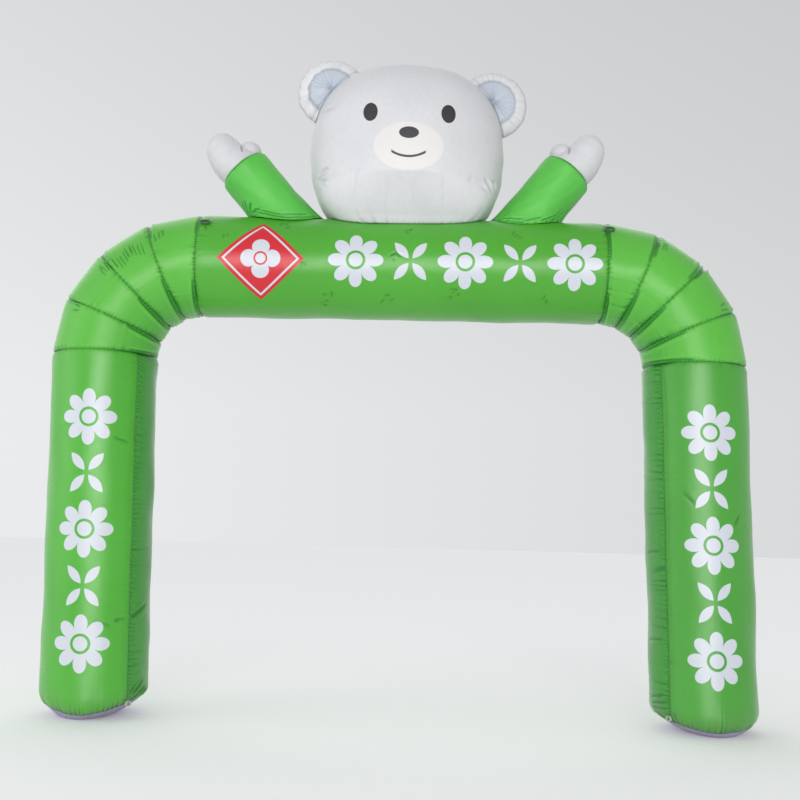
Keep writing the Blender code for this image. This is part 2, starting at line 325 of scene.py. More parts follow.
def blend_colours(factor, first, second, way="MIX"):
    first, second = ((*colour, 1.0) if isinstance(colour, tuple) else colour for colour in (first, second))
    inputs = {"Fac": factor, "Color1": first, "Color2": second}
    return add_node("ShaderNodeMixRGB", inputs, blend_type=way).outputs[0]


def clouds(coords, scale, detail=3.0):
    inputs = {"Vector": coords, "Scale": scale, "Detail": detail}
    return add_node("ShaderNodeTexNoise", inputs).outputs["Fac"]


def read_attribute(tree, name):
    return new_source(tree, "ShaderNodeAttribute", attribute_name=name).outputs["Fac"]


def remap(value, span, new_span):
    """A value's place in one span, carried over to another."""
    spans = {"From Min": span[0], "From Max": span[1], "To Min": new_span[0], "To Max": new_span[1]}
    return add_node("ShaderNodeMapRange", {"Value": value, **spans}).outputs["Result"]


def raise_cloth(height, strength, depth, below=None, invert=False):
    """A small relief in the shading, on top of the one below it."""
    inputs = {"Height": height, "Strength": strength, "Distance": depth}
    if below is not None:
        inputs["Normal"] = below
    return add_node("ShaderNodeBump", inputs, invert=invert).outputs[0]


def within(value, size, edge=0.003):
    """1 where a value is below a size, and 0 above it, with a soft edge."""
    return calc("DIVIDE", minus(size, value), edge, limit=True)


def place_on(tree, space="Object"):
    return new_source(tree, "ShaderNodeTexCoord").outputs[space]


def axes_of(place):
    """The x, y and z of a place."""
    return tuple(add_node("ShaderNodeSeparateXYZ", {"Vector": place}).outputs)


def gathers(coords, from_seam, run, pitch, length):
    """Fine pleats off a seam, each of its own length: 1 in their valleys, and 0 on their ridges."""
    drift = times(clouds(coords, 5.0, 2.0), 16.0)
    waves = calc("SINE", calc("MULTIPLY_ADD", run, math.pi / pitch, drift))
    valleys = minus(1.0, calc("ABSOLUTE", waves))
    reach = calc("MULTIPLY_ADD", clouds(coords, 24.0, 2.0), 2.6 * length, -0.6 * length)
    run_out = calc("DIVIDE", from_seam, calc("MAXIMUM", reach, SHORTEST_PLEAT))
    return times(calc("SUBTRACT", 1.0, run_out, limit=True), valleys)


def nylon(
    name,
    colour,
    roughness,
    add_print=None,
    soiled_to=0.0,
    weave_pitch=0.0022,
    painted_fold_shade=(0.34, 0.62, 0.50),
    streaked=0.0,
    gloss=0.54,
    gathered=(0.034, 0.038),
    foot=None,
    upright=False,
):
    """Light satin nylon: a fine plain weave with a rip-stop grid, sewn edges with a stitch line and fine
    pleats, faded patches, painted shade in the folds and in the pleats' valleys, and dust near the ground.
    Gathered gives the pitch and the length of the pleats. They run off every seam, or only up from the foot
    where its height is given."""
    material, tree, shader = new_material(name)
    coords = place_on(tree)
    along, around, _ = axes_of(new_source(tree, "ShaderNodeUVMap", uv_map="cloth").outputs[0])

    faded = tuple(min(1.0, part * 1.10 + 0.012) for part in colour)
    deep = tuple(part * 0.86 for part in colour)
    cloth = blend_colours(clouds(coords, 1.3, 4.0), deep, faded)
    mottling = blend_colours(clouds(coords, 22.0, 4.0), (0.35, 0.35, 0.35), (1.0, 1.0, 1.0))
    cloth = blend_colours(0.16, cloth, mottling, "MULTIPLY")
    # Painted shade: the cloth is darkened by how deep it lies in a fold or crease, where shade falls.
    fold = read_attribute(tree, "fold")
    cloth = blend_colours(calc("MAXIMUM", fold, 0.0), cloth, painted_fold_shade, "MULTIPLY")
    if add_print:
        cloth = add_print(along, around, cloth)

    # The seam: two layers of cloth show a little darker, with a line of stitches beside the join.
    from_seam = read_attribute(tree, "from_seam")
    from_gathers = from_seam if foot is None else minus(along, foot)
    pleats = gathers(coords, from_gathers, along if upright else around, *gathered)
    # Painted shade in the valleys of the fine pleats.
    cloth = blend_colours(times(pleats, 0.75), cloth, painted_fold_shade, "MULTIPLY")
    doubled = within(from_seam, SEAM_ALLOWANCE)
    cloth = blend_colours(times(doubled, 0.25), cloth, deep, "MULTIPLY")
    stitch_run = bands(plus(along, around), STITCH_PITCH)
    stitch_line = within(apart(from_seam, STITCHES_FROM_SEAM), 0.0018, 0.0008)
    stitches = times(stitch_line, calc("GREATER_THAN", stitch_run, -0.3))
    cloth = blend_colours(times(stitches, 0.5), cloth, faded)

    if soiled_to:
        low = within(axes_of(coords)[2], soiled_to, soiled_to)
        dust = times(calc("POWER", low, 2.0), clouds(coords, 9.0, 6.0))
        cloth = blend_colours(times(dust, 0.7), cloth, DUST)
    spread = remap(clouds(coords, 5.0, 3.0), (0.0, 1.0), (roughness - 0.05, roughness + 0.06))
    set_inputs(shader, {"Base Color": cloth, "Roughness": spread, "Specular IOR Level": gloss})
    if streaked:
        # The close warp threads spread a highlight out along the tube.
        warp_way = new_source(tree, "ShaderNodeTangent", direction_type="UV_MAP", uv_map="cloth")
        set_inputs(shader, {"Anisotropic": streaked, "Tangent": warp_way.outputs[0]})

    crinkle = plus(clouds(coords, 16.0, 5.0), times(clouds(coords, 60.0), 0.35))
    crinkled = raise_cloth(crinkle, 0.35, 0.0024)
    pleated = raise_cloth(pleats, 0.8, 0.006, crinkled, invert=True)
    weave = times(bands(along, weave_pitch), bands(around, weave_pitch))
    grid = (calc("GREATER_THAN", bands(run, RIP_STOP_PITCH), 0.93) for run in (along, around))
    threads = plus(weave, plus(calc("MAXIMUM", *grid), stitches))
    set_inputs(shader, {"Normal": raise_cloth(threads, 0.25, 0.0003, pleated)})
    return material


def flower(x, y, size, petals):
    """A round-petalled flower, 1 inside its outline, with a ring left open round its middle."""
    from_middle = distance(x, y)
    turn = calc("ARCTAN2", y, x)
    lobes = calc("ABSOLUTE", calc("COSINE", times(turn, petals / 2)))
    outline = calc("MULTIPLY_ADD", calc("POWER", lobes, 0.55), 0.52 * size, 0.48 * size)
    shape = within(from_middle, outline, PRINT_EDGE)
    ring = within(apart(from_middle, 0.30 * size), 0.055 * size)
    return times(shape, minus(1.0, ring))


def leaves(x, y, length, width, lean):
    """Four pointed leaves about a middle, one in each quarter."""
    x, y = calc("ABSOLUTE", x), calc("ABSOLUTE", y)
    cos, sin = math.cos(lean), math.sin(lean)
    run = plus(times(x, cos), times(y, sin))
    off = minus(times(y, cos), times(x, sin))
    from_middle = calc("DIVIDE", minus(run, 0.62 * length), length / 2)
    outline = times(minus(1.0, times(from_middle, from_middle)), width)
    return within(calc("ABSOLUTE", off), outline, PRINT_EDGE)


def row_of(along, first, pitch, count):
    """The distance along the cloth from the nearest of some evenly spaced motifs."""
    steps = calc("ROUND", calc("DIVIDE", minus(along, first), pitch))
    held = calc("MINIMUM", calc("MAXIMUM", steps, 0.0), count - 1.0)
    return minus(along, calc("MULTIPLY_ADD", held, pitch, first))


def print_flowers(along, around, cloth, first, lean):
    """Three white flowers in a row, with four leaves between one and the next."""
    blooms = flower(row_of(along, first, MOTIF_PITCH, 3), around, BLOOM_RADIUS, 8)
    between = row_of(along, first + MOTIF_PITCH / 2, MOTIF_PITCH, 2)
    sprigs = leaves(between, around, *LEAF_SIZE, lean)
    return blend_colours(calc("MAXIMUM", blooms, sprigs), cloth, PRINT_WHITE)


def beam_print(along, around, cloth):
    """The flowers, and a white quatrefoil in a red diamond."""
    around = plus(around, PRINT_SHIFT)
    cloth = print_flowers(along, around, cloth, first=-0.42, lean=math.radians(50))
    x = minus(along, DIAMOND_X)
    slant = plus(calc("ABSOLUTE", x), calc("ABSOLUTE", around))
    cloth = blend_colours(within(slant, DIAMOND_REACH, PRINT_EDGE), cloth, PRINT_RED)
    border = within(apart(slant, BORDER_REACH), BORDER_HALF_WIDTH, PRINT_EDGE)
    quatrefoil = flower(x, around, QUATREFOIL_RADIUS, 4)
    return blend_colours(calc("MAXIMUM", border, quatrefoil), cloth, PRINT_WHITE)


beam_low, beam_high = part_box("beam")
beam_middle_x = (beam_low.x + beam_high.x) / 2
beam_half = (beam_high.x - beam_low.x) / 2
BEAM_AXIS_Z = 3.86
TETHER_LOOPS_X = (-1.72, 1.73)
TETHER_LOOP_TURN = math.radians(43)


def tether_puckers(x, round_front):
    """Short pleats that run out all round from where each upper tether loop is sewn on."""
    relief = 0
    for loop_x in TETHER_LOOPS_X:
        across, up = x - loop_x, round_front - TETHER_LOOP_TURN * TUBE_RADIUS
        from_loop, bearing = np.hypot(across, up), np.arctan2(up, across)
        pleats = np.abs(np.sin(4.5 * bearing + 0.8 * np.sin(2 * bearing))) - 0.6
        relief += 0.010 * pleats * hump(from_loop - 0.045, 0.035)
    return relief


def beam_surface(x, turn, from_seam):
    """The beam's radius without its pleats and dents."""
    slack = SLACK * np.sin(2.6 * (x - beam_middle_x)) * np.minimum(from_seam / 0.3, 1.0)
    return TUBE_RADIUS + slack - seam_groove(from_seam, turn)


def beam_axis_z(x):
    return BEAM_AXIS_Z + BEAM_END_RISE * (x - beam_middle_x) / beam_half


def shape_beam(along, around):
    x = stations(along, beam_low.x, beam_high.x, 2.5)
    turn = (around - 0.5) * math.tau
    from_seam = np.minimum(x - beam_low.x, beam_high.x - x)
    round_front = turn * TUBE_RADIUS
    relief = puckers(turn, from_seam, 11) * (0.4 + 0.8 * np.abs(np.sin(turn)))
    relief += bunching(from_seam, turn, 17)
    relief += dents(x, round_front, BEAM_DENTS, 15)
    relief += tether_puckers(x, round_front)
    back_relief, from_back = closing_seam(x, turn, 19)
    relief += back_relief
    limp = buckles(2.4 * x, 2 * turn, 6, 0.0016) * slackness(turn)
    radius = beam_surface(x, turn, from_seam) + relief + buckles(x, turn, 5) * (1 + slackness(turn)) + limp
    places = np.column_stack((x, -np.cos(turn) * radius, beam_axis_z(x) + np.sin(turn) * radius))
    return places, np.column_stack((x, round_front)), np.minimum(from_seam, from_back), relief


beam = sew("beam_tube", 230, 250, shape_beam)
beam_nylon = nylon("beam_nylon", PRINTED_GREEN, 0.30, add_print=beam_print, streaked=0.85)
dress(beam, beam_nylon, "printed_nylon", 0.95, "beam")


# Elbows
# Each bend is four wedge-shaped gores of plain green nylon, sewn one to the next. Their outer sides are
# tight and nearly straight, with a few rows of short pleats. Their inner sides bunch up at every seam.

BEND_RADIUS = 0.82
GORES_PER_ELBOW = 4
GORE_TRIM = 0.0015
# How far the inside of a bend is sunk and counted as folded, so that it is painted in shade.
INNER_PAINTED_SHADE = 0.0011
PLAIN_GREEN = (0.100, 0.460, 0.046)
GORE_PLEATS = {
    # gore: first pleat along the gore, pitch, count, where they sit round the tube, length of each
    ("left", 1): (0.36, 0.034, 3, 0.27, 0.09),
    ("left", 2): (0.34, 0.030, 4, 0.22, 0.14),
    ("left", 3): (0.05, 0.036, 9, 0.20, 0.14),
    ("left", 4): (0.05, 0.036, 3, 0.24, 0.10),
    ("right", 2): (0.05, 0.036, 2, 0.33, 0.10),
    ("right", 3): (0.33, 0.034, 3, 0.30, 0.12),
}
SEAM_TUCKS = {
    # gore: which of its seams, place round the front at each end, how far off the seam, width, depth
    ("left", 4): ((1, 0.62, 0.20, 0.016, 0.009, 0.011), (0, 0.66, 0.22, 0.020, 0.012, 0.014),
                  (1, -0.66, -0.20, 0.018, 0.011, 0.015)),
    ("left", 3): ((0, 0.62, 0.30, 0.022, 0.010, 0.013), (1, -0.68, -0.14, 0.020, 0.012, 0.016)),
    ("left", 2): ((1, 0.60, 0.36, 0.026, 0.009, 0.012), (1, -0.68, -0.18, 0.020, 0.012, 0.016),
                  (0, 0.60, 0.40, 0.016, 0.008, 0.008)),
    ("left", 1): ((1, -0.66, -0.24, 0.020, 0.011, 0.015), (0, -0.64, -0.30, 0.016, 0.009, 0.012)),
    ("right", 4): ((1, 0.66, 0.02, 0.018, 0.012, 0.015), (1, -0.66, -0.26, 0.016, 0.010, 0.013),
                   (0, 0.52, 0.06, 0.018, 0.009, 0.010)),
    ("right", 3): ((1, 0.66, 0.14, 0.022, 0.014, 0.017), (0, 0.68, 0.16, 0.034, 0.013, 0.016),
                   (1, -0.68, -0.18, 0.020, 0.013, 0.017)),
    ("right", 2): ((1, 0.70, 0.20, 0.020, 0.013, 0.018), (1, -0.68, -0.16, 0.022, 0.014, 0.018),
                   (0, 0.66, 0.42, 0.018, 0.010, 0.011)),
    ("right", 1): ((1, -0.68, -0.12, 0.020, 0.013, 0.016), (0, -0.66, -0.10, 0.018, 0.011, 0.014)),
}


def build_gore(side_name, number):
    side = SIDES[side_name]
    span = math.pi / 2 / GORES_PER_ELBOW
    bend_x = beam_middle_x + side * (beam_half + CLEARANCE)
    bend_z = BEAM_AXIS_Z - BEND_RADIUS + side * BEAM_END_RISE
    seed = 40 + 10 * number + side
    pleats = GORE_PLEATS.get((side_name, number))

    def shape(along, around):
        turn = (around - 0.5) * math.tau
        share = stations(along, GORE_TRIM, 1 - GORE_TRIM, 3.0)
        angle = span * (number - 1 + share)
        reach = BEND_RADIUS * math.cos(span / 2) / np.cos((share - 0.5) * span)
        across = reach + TUBE_RADIUS * np.sin(turn)
        from_seam = np.minimum(share, 1 - share) * span * across
        run = (share - 0.5) * span * BEND_RADIUS
        round_front = turn * TUBE_RADIUS
        inner = np.clip(-np.sin(turn), 0, 1) ** 2
        relief = puckers(turn, from_seam, seed, depth=0.0055, reach=0.026)
        relief *= (0.5 + 0.9 * np.abs(np.sin(turn)))
        if pleats:
            first, pitch, count, middle, length = pleats
            outer_run = share * span * (BEND_RADIUS + TUBE_RADIUS * 0.6)
            for step in range(count):
                place = first + step * pitch
                lean = 0.012 * math.sin(3.1 * step + seed)
                offset = 0.03 * math.sin(5.3 * step + seed)
                ends = (place, middle + offset - length / 2), (place + lean, middle + offset + length / 2)
                relief += crease(outer_run, round_front, *ends, 0.007, 0.011)
        along_gore = share * span * across
        for seam_end, tuck_start, tuck_end, off_seam, width, depth in SEAM_TUCKS[side_name, number]:
            off = span * across - along_gore if seam_end else along_gore
            ends = (off_seam, tuck_start), (0.7 * off_seam, tuck_end)
            relief += crease(off, round_front, *ends, width, depth)
        back_relief, from_back = closing_seam(run, turn, seed + 3)
        relief += back_relief
        flattened = (BEND_RADIUS - reach) * 0.85 * inner
        groove = seam_groove(from_seam, turn) * (1 - 0.6 * inner)
        relief += bunching(from_seam, turn, seed + 5)
        # Painted shade on the inside of the bend: the cloth there sinks a little and counts as lying in a
        # fold, so it is painted darker.
        relief -= INNER_PAINTED_SHADE * inner
        limp = buckles(2.4 * run, 2 * turn, seed + 7, 0.0018) * slackness(turn)
        radius = TUBE_RADIUS - flattened - groove + relief + buckles(run, turn, seed, 0.003) + limp
        out = reach + radius * np.sin(turn)
        sideways, up = side * np.cos(angle) * out, np.sin(angle) * out
        places = np.column_stack((bend_x + sideways, -np.cos(turn) * radius, bend_z + up))
        return places, np.column_stack((run, round_front)), np.minimum(from_seam, from_back), relief

    gore = sew(f"elbow_gore_{side_name}_{number}", 44, 250, shape)
    dress(gore, plain_nylon, "green_nylon", 0.95, f"elbow_{side_name}_gore_{number}")


plain_nylon = nylon("plain_nylon", PLAIN_GREEN, 0.32, streaked=0.85, gloss=0.44)
for side_name in SIDES:
    for number in range(1, GORES_PER_ELBOW + 1):
        build_gore(side_name, number)


# Legs
# Each leg is a printed panel that goes most of the way round and a plain darker strip on the walkway side,
# sewn together along two upright seams. The foot is gathered onto the base panel with many small pleats.

LEG_AXIS_X = 2.56
SWAY_X = 0.036
STRIP_HALF_ANGLE = math.radians(37.5)
SIDE_GAP = 0.0004
STRIP_MIDDLE = -0.40
FLAT_COLUMNS = 8
TUCKED_SPREAD = 0.55
TUCKED_RISE = 0.045
FOOT_SEAM_Z = 0.048
FOOT_SEAM_RADIUS = 0.385
FOOT_SEAM_RISE = {
    "left": {"inner": 0.105, "outer": 0.060},
    "right": {"inner": 0.072, "outer": 0.036},
}
FOOT_GATHERS = 16
FOOT_GATHER_DEPTH = 0.009
# The same printed cloth on both legs, painted lighter on the left and darker on the right: painted light
# from the left, painted shade on the right.
LEG_GREENS_PAINTED_LIT_AND_SHADED = {"left": (0.058, 0.398, 0.014), "right": (0.045, 0.324, 0.016)}
INNER_GREEN = (0.042, 0.300, 0.028)
LEG_CREASES = {
    # height and place round the front at each end, width, depth
    "left": (
        ((0.80, -0.26), (0.82, -0.36), 0.012, 0.010),
        ((0.82, -0.42), (0.92, -0.60), 0.016, 0.012),
        ((0.76, -0.24), (0.80, -0.10), 0.014, 0.004),
        ((2.30, -0.20), (2.26, -0.34), 0.012, 0.005),
        ((0.10, -0.50), (0.20, -0.63), 0.013, 0.016),
        ((0.14, -0.46), (0.28, -0.60), 0.011, 0.012),
        ((0.09, -0.57), (0.17, -0.69), 0.015, 0.016),
        ((0.17, -0.43), (0.25, -0.50), 0.009, 0.009),
        ((0.07, -0.45), (0.12, -0.57), 0.011, 0.013),
    ),
    "right": (
        ((1.86, -0.13), (1.97, -0.24), 0.014, 0.005),
        ((1.80, 0.26), (1.70, 0.19), 0.014, 0.004),
        ((0.76, -0.45), (0.73, -0.70), 0.012, 0.010),
        ((1.48, -0.46), (1.46, -0.68), 0.012, 0.008),
        ((0.30, -0.44), (0.24, -0.66), 0.012, 0.009),
        ((0.24, -0.42), (0.19, -0.64), 0.012, 0.009),
        ((0.18, -0.42), (0.15, -0.66), 0.012, 0.008),
    ),
}
LADDER_DEPTH = {"left": 0.0040, "right": 0.0085}


def leg_print(along, around, cloth):
    """The flowers, up the front of the leg."""
    return print_flowers(along, around, cloth, first=0.62, lean=math.radians(40))


def foot_gather(side, turn):
    round_foot = np.arctan2(-np.cos(turn), side * np.sin(turn))
    waves = np.sin(FOOT_GATHERS * round_foot) + 0.5 * np.sin(7 * round_foot + 1.0)
    return FOOT_GATHER_DEPTH * waves / 1.5


def foot_seam_rise(side_name, turn):
    rises = FOOT_SEAM_RISE[side_name]
    return np.where(np.sin(turn) > 0, rises["outer"], rises["inner"]) * np.abs(np.sin(turn)) ** 1.6


def build_leg_panel(side_name, first_turn, last_turn, rows, columns):
    """One upright panel of a leg, from one seam to the other, closed by a flat wall between the seams."""
    side = SIDES[side_name]
    top = BEAM_AXIS_Z - BEND_RADIUS + side * BEAM_END_RISE - CLEARANCE
    is_strip = last_turn - first_turn < math.pi
    start, end = first_turn + SIDE_GAP / TUBE_RADIUS, last_turn - SIDE_GAP / TUBE_RADIUS

    def surface(height, turn):
        above_foot = height - FOOT_SEAM_Z
        from_side = np.minimum(turn - first_turn, last_turn - turn) * TUBE_RADIUS
        from_top = top - height
        side_groove = 0.5 * SEAM_PINCH * hump(from_side, 0.038) + 0.002 * ebb(from_side, 0.008)
        rounding = (TUBE_RADIUS - FOOT_SEAM_RADIUS) * np.clip(1 - above_foot / 0.16, 0, 1) ** 2.6
        gather = foot_gather(side, turn) * ebb(above_foot, 0.09)
        pleats = puckers(turn, above_foot, 71 + side, count=66, depth=0.026, reach=0.027)
        share, reach = (1.0, 0.11) if is_strip else (0.45, 0.04)
        seed = 81 + side + 4 * is_strip
        depth = LADDER_DEPTH[side_name] * share
        ladder = puckers(height / TUBE_RADIUS, from_side, seed, count=52, depth=depth, reach=reach)
        top_pleats = puckers(turn, from_top, 61 + side, depth=0.004, reach=0.03)
        top_pleats += bunching(from_top, turn, 65 + side)
        relief = pleats + top_pleats + ladder * np.clip(from_top / 0.1, 0, 1)
        round_front = turn * TUBE_RADIUS
        relief += creases(height, round_front, LEG_CREASES[side_name])
        slack = SLACK * np.sin(5.0 * height + side)
        radius = TUBE_RADIUS + slack - side_groove - rounding + gather - seam_groove(from_top, turn)
        radius += relief
        radius += buckles(height, turn, 90 + side, 0.003) * (1 + slackness(turn))
        radius += buckles(2.4 * height, 2 * turn, 93 + side, 0.0022) * slackness(turn)
        lift = foot_seam_rise(side_name, turn) * ebb(above_foot, 0.2)
        from_seam = np.minimum(np.minimum(from_side, from_top), above_foot)
        return radius, lift, from_seam, relief

    def shape(along, around):
        # The first rows go in under the foot, so that its closed bottom stays clear of the base panel.
        is_inside = along < 1.5 / rows
        share = np.clip((along - 2 / rows) / (1 - 2 / rows), 0, 1)
        height = stations(share, FOOT_SEAM_Z + CLEARANCE, top, 4.0)
        curved_share = (columns - FLAT_COLUMNS) / columns
        on_curve = np.clip(around / curved_share, 0, 1)
        across = np.clip((around - curved_share) / (1 - curved_share), 0, 1)
        turn = start + (end - start) * on_curve
        radius, lift, from_seam, relief = surface(height, turn)
        start_radius, start_lift, *_ = surface(height, np.full_like(turn, start))
        sideways, depth = radius * np.sin(turn), -radius * np.cos(turn)
        sideways += (start_radius * math.sin(start) - sideways) * across
        depth += (-start_radius * math.cos(start) - depth) * across
        lift += (start_lift - lift) * across
        tucked = np.where(is_inside, TUCKED_SPREAD, 1.0)
        middle = STRIP_MIDDLE if is_strip else 0.0
        sideways = middle + (sideways - middle) * tucked
        depth *= tucked
        sway = SWAY_X * (1 - 2 * height / top)
        z = height + lift + np.where(is_inside, TUCKED_RISE, 0.0)
        places = np.column_stack((side * LEG_AXIS_X + sway + side * sideways, depth, z))
        relief = np.where(across > 0, 0.0, relief)
        return places, np.column_stack((height, turn * TUBE_RADIUS)), from_seam, relief

    kind = "strip" if is_strip else "printed"
    return sew(f"leg_{side_name}_{kind}_cloth", rows, columns, shape)


strip_nylon = nylon(
    "strip_nylon", INNER_GREEN, 0.34, soiled_to=0.45, streaked=0.85, gathered=(0.034, 0.11), upright=True
)
strip_start, strip_end = -math.pi / 2 - STRIP_HALF_ANGLE, -math.pi / 2 + STRIP_HALF_ANGLE
for side_name in SIDES:
    leg_nylon = nylon(
        f"leg_{side_name}_nylon",
        LEG_GREENS_PAINTED_LIT_AND_SHADED[side_name],
        0.29,
        add_print=leg_print,
        soiled_to=0.35,
        streaked=0.9,
        gloss=0.78,
        gathered=(0.024, 0.068),
        foot=FOOT_SEAM_Z,
    )
    panel = build_leg_panel(side_name, strip_end, strip_start + math.tau, rows=184, columns=352)
    dress(panel, leg_nylon, "printed_nylon", 0.95, f"leg_{side_name}_printed_panel")
    strip = build_leg_panel(side_name, strip_start, strip_end, rows=290, columns=64)
    dress(strip, strip_nylon, "inner_nylon", 0.95, f"leg_{side_name}_inner_strip")


# Base panels
# A heavier grey cloth closes the bottom of each leg. It is sewn round the foot and bulges down to a flat
# spot where it carries the arch on the ground.

SEAM_SHARE = 0.8
BASE_SLOPE = 0.16
FLOOR_CONTACT = (0.19, 0.29)
CONTACT_SHIFT = 0.06
BASE_GREY = (0.360, 0.330, 0.490)


def build_base(side_name):
    side = SIDES[side_name]

    def shape(along, around):
        turn = (around - 0.5) * math.tau
        share = np.clip(along / SEAM_SHARE, 0, 1)
        tucked = np.clip((along - SEAM_SHARE) / (1 - SEAM_SHARE), 0, 1)
        contact = 1 / np.hypot(np.sin(turn) / FLOOR_CONTACT[0], np.cos(turn) / FLOOR_CONTACT[1])
        outward = CONTACT_SHIFT * (1 - share)
        sewn = FOOT_SEAM_RADIUS - 0.002 + foot_gather(side, turn)
        radius = contact + (sewn - contact) * share
        edge_z = FOOT_SEAM_Z - CLEARANCE + foot_seam_rise(side_name, turn)
        from_seam = (1 - share) * BASE_SLOPE
        relief = puckers(turn, from_seam, 101 + side, count=54, depth=0.006, reach=0.035)
        relief *= np.clip(share * 3, 0, 1)
        z = edge_z * (1 - np.cos(share * math.pi / 2)) ** 0.9
        z += (FOOT_SEAM_Z - 0.010 - z) * tucked
        radius = radius + relief + (0.5 * FOOT_SEAM_RADIUS - radius) * tucked
        sideways = np.sin(turn) * radius + outward
        places = np.column_stack((side * LEG_AXIS_X + SWAY_X + side * sideways, -np.cos(turn) * radius, z))
        return places, np.column_stack((radius, turn * TUBE_RADIUS)), from_seam, relief

    base = sew(f"base_{side_name}_cloth", 26, 270, shape)
    dress(base, base_cloth, "base_cloth", 0.9, f"base_panel_{side_name}")


base_cloth = nylon(
    "base_cloth", BASE_GREY, 0.60, soiled_to=0.10, weave_pitch=0.004, painted_fold_shade=(0.6, 0.58, 0.66)
)
for side_name in SIDES:
    build_base(side_name)


# Head
# A big rounded head of white nylon, with sewn meridians at the sides and back, and sewn down over the beam.
# Its plain face is printed on. The cloth is gathered where it meets the beam and at the cheeks.

HEAD_CENTRE = Vector((-0.015, 0.0, 4.88))
HEAD_HALF_WIDTH = 0.853
HEAD_HALF_DEPTH = 0.55
HEAD_HALF_HEIGHT = 0.814
HEAD_ROUNDNESS = 2.4
OUTLINE_ROUNDNESS = 2.3
HEAD_SEAMS = 4
HEAD_CLOTH_RADIUS = 0.7
POLE_TO_POLE = math.radians(177)
ON_BEAM_GAP = 0.004
HEAD_WHITE = (0.618, 0.620, 0.650)
FACE_DARK = (0.022, 0.020, 0.026)
MUZZLE_TINT = (0.69, 0.67, 0.655)
# across, up, half width and half height of each oval, and the smile's centre height, radius and half width
EYE = (0.33, 5.10, 0.062, 0.085)
NOSE = (0.0, 4.915, 0.085, 0.052)
MUZZLE = (0.0, 4.80, 0.30, 0.21)
SMILE = (4.98, 0.27, 0.15)
CHEEK_CREASES = (
    # across and up at each end, width, depth
    ((-0.78, 4.62), (-0.68, 4.66), 0.012, 0.010),
    ((-0.79, 4.59), (-0.69, 4.61), 0.011, 0.008),
    ((-0.77, 4.56), (-0.69, 4.55), 0.013, 0.010),
    ((-0.75, 4.53), (-0.70, 4.50), 0.010, 0.006),
    ((0.73, 4.50), (0.66, 4.60), 0.012, 0.012),
    ((0.75, 4.53), (0.74, 4.61), 0.011, 0.007),
    ((0.70, 4.47), (0.62, 4.52), 0.011, 0.006),
    ((0.55, 4.60), (0.52, 4.54), 0.014, 0.005),
    ((-0.76, 5.19), (-0.64, 5.18), 0.018, 0.006),
    ((-0.46, 4.30), (-0.43, 4.66), 0.013, 0.0030),
    ((-0.18, 4.30), (-0.17, 4.58), 0.012, 0.0026),
    ((0.06, 4.30), (0.05, 4.56), 0.012, 0.0024),
    ((0.31, 4.30), (0.29, 4.62), 0.013, 0.0030),
    ((0.50, 4.32), (0.46, 4.52), 0.012, 0.0022),
)


def face_print(along, around, cloth):
    """A plain bear's face: two oval eyes, a small nose, a smile and a pale oval muzzle."""
    x, y, z = axes_of(place_on(cloth.id_data))
    front = calc("LESS_THAN", y, 0.0)

    def oval(centre_x, centre_z, half_width, half_height):
        across = calc("DIVIDE", minus(x, centre_x), half_width)
        up = calc("DIVIDE", minus(z, centre_z), half_height)
        return times(within(distance(across, up), 1.0, 0.03), front)

    def smile(centre_z, radius, half_width):
        up = minus(z, centre_z)
        line = within(apart(distance(x, up), radius), 0.012, PRINT_EDGE)
        low = calc("LESS_THAN", up, 0.0)
        reach = within(calc("ABSOLUTE", x), half_width, 0.01)
        return times(times(line, low), times(reach, front))

    cloth = blend_colours(times(oval(*MUZZLE), 0.75), cloth, MUZZLE_TINT)
    eyes = calc("MAXIMUM", *(oval(side * EYE[0], *EYE[1:]) for side in SIDES.values()))
    dark = calc("MAXIMUM", calc("MAXIMUM", eyes, oval(*NOSE)), smile(*SMILE))
    return blend_colours(dark, cloth, FACE_DARK)


def head_outline(turn, power=OUTLINE_ROUNDNESS):
    return (np.abs(np.cos(turn)) ** power + np.abs(np.sin(turn)) ** power) ** (-1 / power)


def off_head(points):
    """About how far each point is outside the head."""
    offset = points - np.array(HEAD_CENTRE)
    up = np.abs(offset[:, 2] / HEAD_HALF_HEIGHT) ** HEAD_ROUNDNESS
    x, y = offset[:, 0] / HEAD_HALF_WIDTH, offset[:, 1] / HEAD_HALF_DEPTH
    level = (np.hypot(x, y) / head_outline(np.arctan2(y, x))) ** HEAD_ROUNDNESS
    return ((level + up) ** (1 / HEAD_ROUNDNESS) - 1) * HEAD_HALF_DEPTH


def beam_top(points):
    """How high the beam's top is above each point of the ground plan."""
    from_seam = np.minimum(points[:, 0] - beam_low.x, beam_high.x - points[:, 0])
    radius = beam_surface(points[:, 0], math.pi / 2, np.clip(from_seam, 0, None)) + ON_BEAM_GAP
    height = np.sqrt(np.clip(radius**2 - points[:, 1] ** 2, 0, None))
    return np.where(np.abs(points[:, 1]) < radius, beam_axis_z(points[:, 0]) + height, 0.0)


